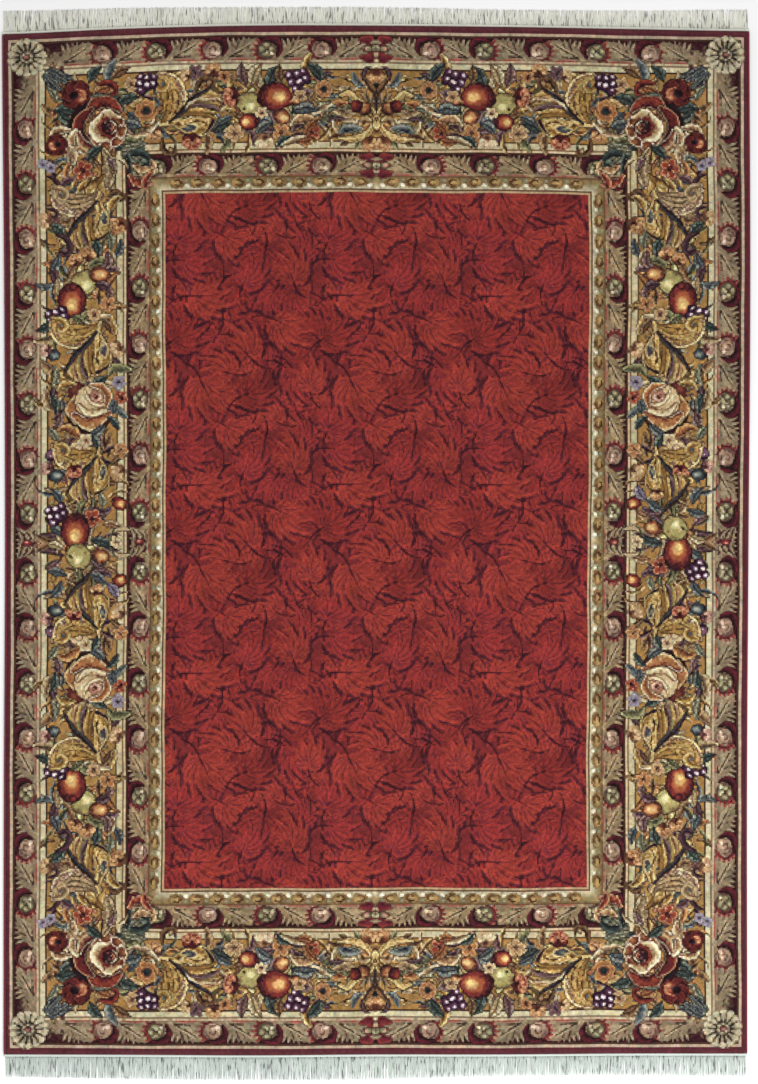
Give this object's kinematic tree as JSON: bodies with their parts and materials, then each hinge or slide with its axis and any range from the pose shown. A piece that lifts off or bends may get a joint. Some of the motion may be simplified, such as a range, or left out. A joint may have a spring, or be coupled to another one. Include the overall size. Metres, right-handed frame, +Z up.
{
  "type": "tabriz rug",
  "caption": "Large rectangular wool pile rug lying flat, with overcast long sides and a combed cotton fringe at each end.",
  "frame": {"origin": "on the floor, under the middle of the whole rug with its fringes", "axes": "+X across the rug, +Y along it towards the end with the shorter fringe, +Z up out of the pile"},
  "size_m": [2.45, 3.5178, 0.012],
  "materials": {
    "pile_wool": "dense cut wool pile, matt with a soft sheen, crimson field and gold, cream and wine borders",
    "selvedge_wool": "wine wool yarn wound over the edge",
    "fringe_cotton": "undyed cotton yarn, combed out and cut level"
  },
  "bodies": {
    "root": {"pile": "pile_wool", "selvedge_left": "selvedge_wool", "selvedge_right": "selvedge_wool", "fringe_top": "fringe_cotton", "fringe_bottom": "fringe_cotton"}
  },
  "joints": []
}
